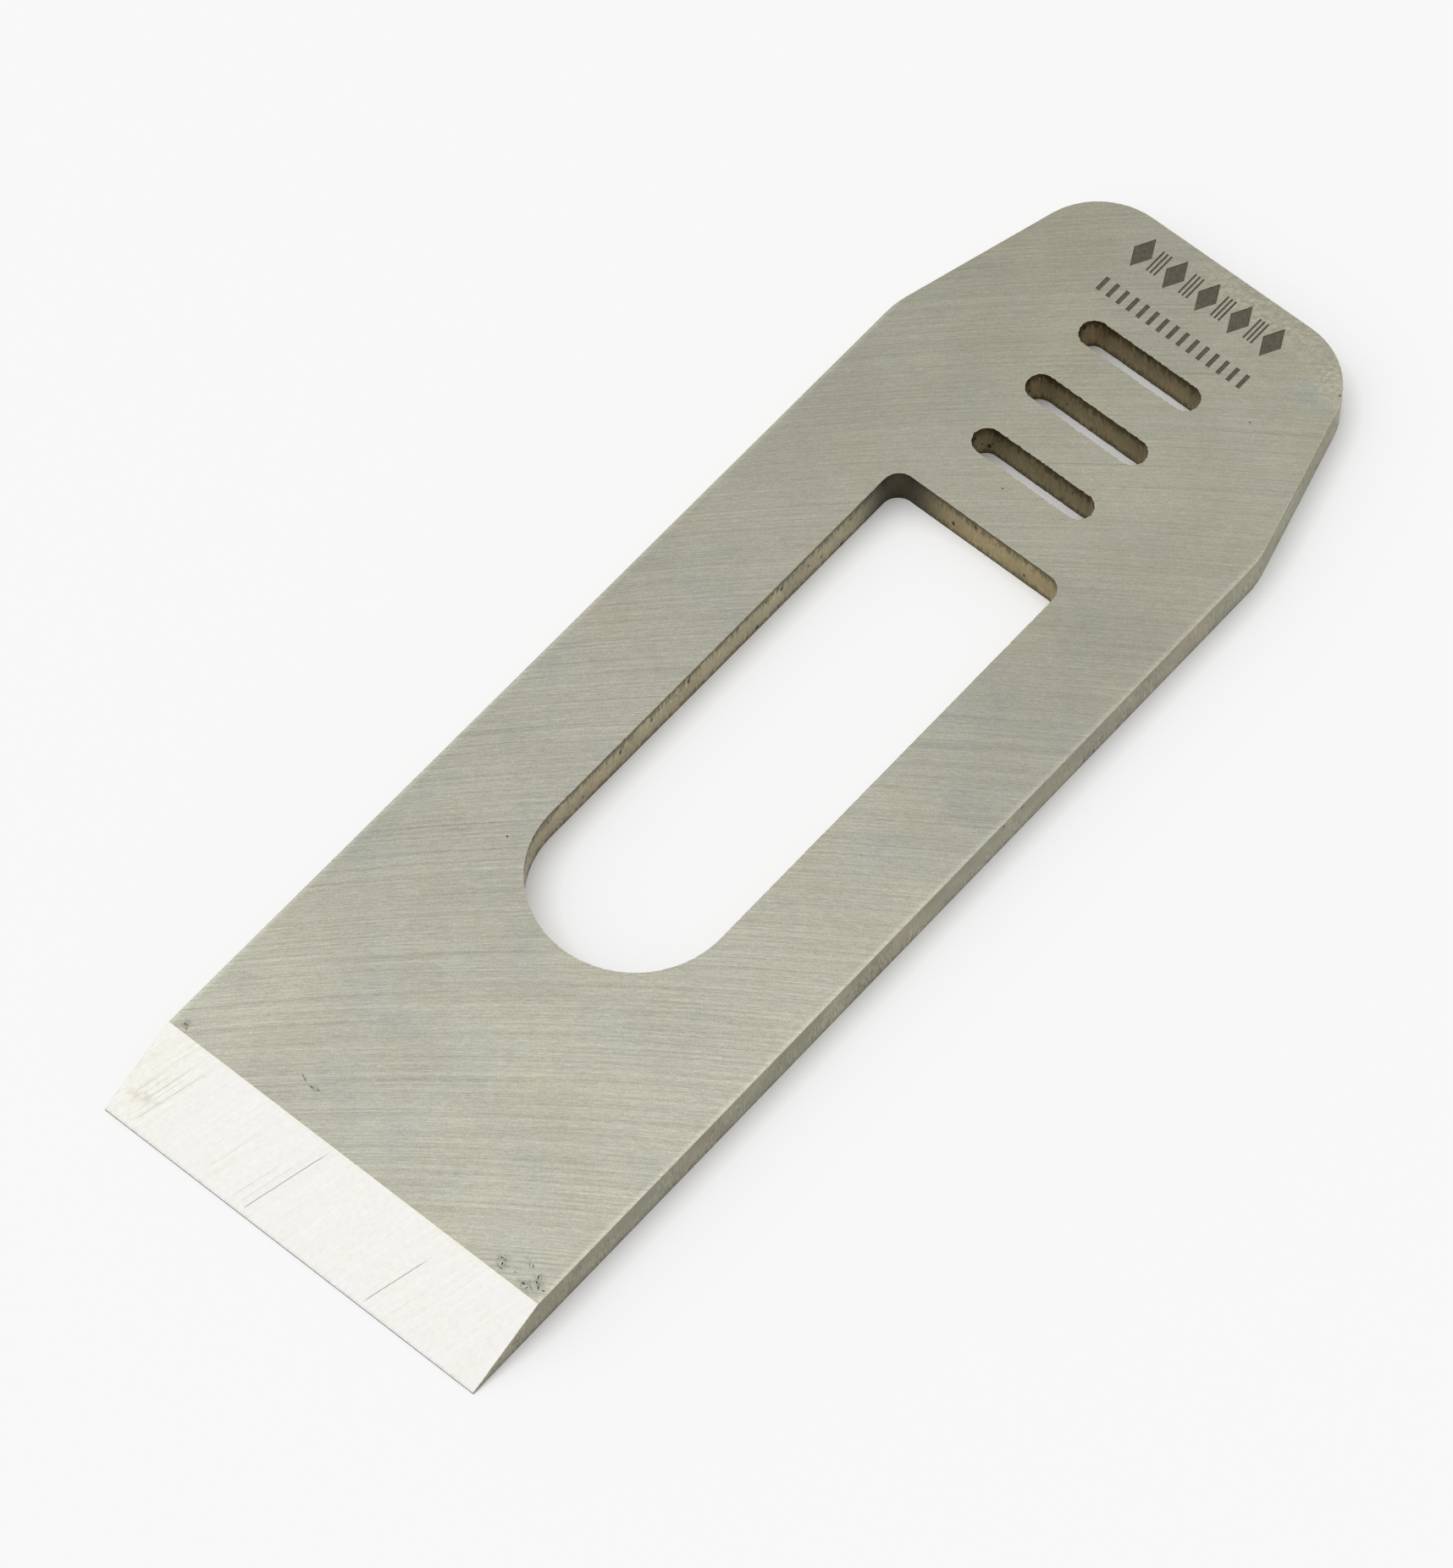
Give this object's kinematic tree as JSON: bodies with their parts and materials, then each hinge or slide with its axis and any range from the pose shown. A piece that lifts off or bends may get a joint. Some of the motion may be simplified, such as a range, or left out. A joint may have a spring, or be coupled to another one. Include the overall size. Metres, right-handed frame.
{
  "type": "block plane blade",
  "caption": "Flat bevel-up plane blade with a long window, a tapered tail and full-round cross slots for the depth adjuster.",
  "frame": {"origin": "middle of the flat back: halfway across the width and halfway from the cutting edge to the tail, on the face that beds in the plane", "axes": "+X across the width, +Y from the cutting edge towards the tail, +Z out of the bevelled side, away from the back"},
  "size_m": [0.035, 0.1068, 0.0034],
  "materials": {
    "ground_tool_steel": "surface-ground hardened tool steel with a faint warm grey-green cast; the bevel is freshly ground and bright, the sides and the window and slot walls are darker and carry a thin brown oxide"
  },
  "bodies": {
    "root": {"blade": "ground_tool_steel"}
  },
  "joints": []
}
